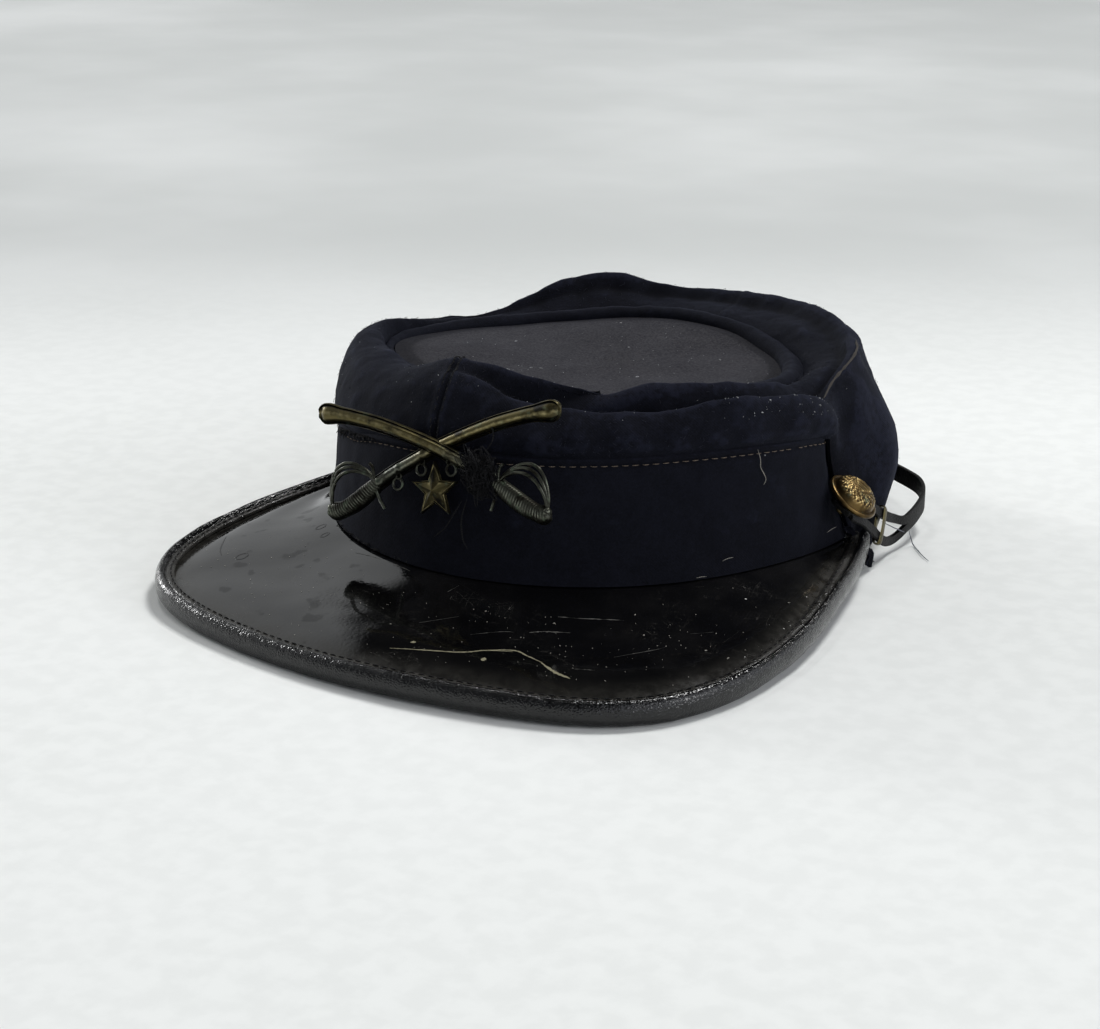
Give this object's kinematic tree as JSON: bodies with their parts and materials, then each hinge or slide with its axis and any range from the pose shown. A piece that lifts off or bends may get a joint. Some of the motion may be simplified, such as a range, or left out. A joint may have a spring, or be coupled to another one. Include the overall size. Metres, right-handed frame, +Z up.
{
  "type": "kepi_cap",
  "caption": "Low cloth kepi forage cap with a slumped round top, a glossy leather visor, domed side buttons, a chin strap and a crossed-saber badge",
  "frame": {"origin": "on the table, at the middle of the bottom of the cap's box", "axes": "+Z up, -Y to the front where the visor is, +X to the wearer's left"},
  "size_m": [0.1879, 0.2381, 0.0677],
  "materials": {
    "navy_wool": "fulled dark blue wool, worn and dusty",
    "dusty_wool": "faded charcoal wool with dust",
    "patent_leather": "glossy black lacquered leather, scratched",
    "binding_leather": "grained black leather with a broken shine",
    "strap_leather": "thin dry black leather",
    "old_brass": "stamped brass with an olive patina",
    "gilt_brass": "worn gilt brass, dark in the relief"
  },
  "bodies": {
    "root": {"band": "navy_wool", "crown": "navy_wool", "crown_welt": "navy_wool", "top_disc": "dusty_wool", "visor": "patent_leather", "visor_binding": "binding_leather", "crossed_sabers": "old_brass", "badge_star": "gilt_brass", "side_button_left": "gilt_brass", "side_button_right": "gilt_brass", "chin_strap": "strap_leather", "strap_slide": "old_brass"}
  },
  "joints": []
}
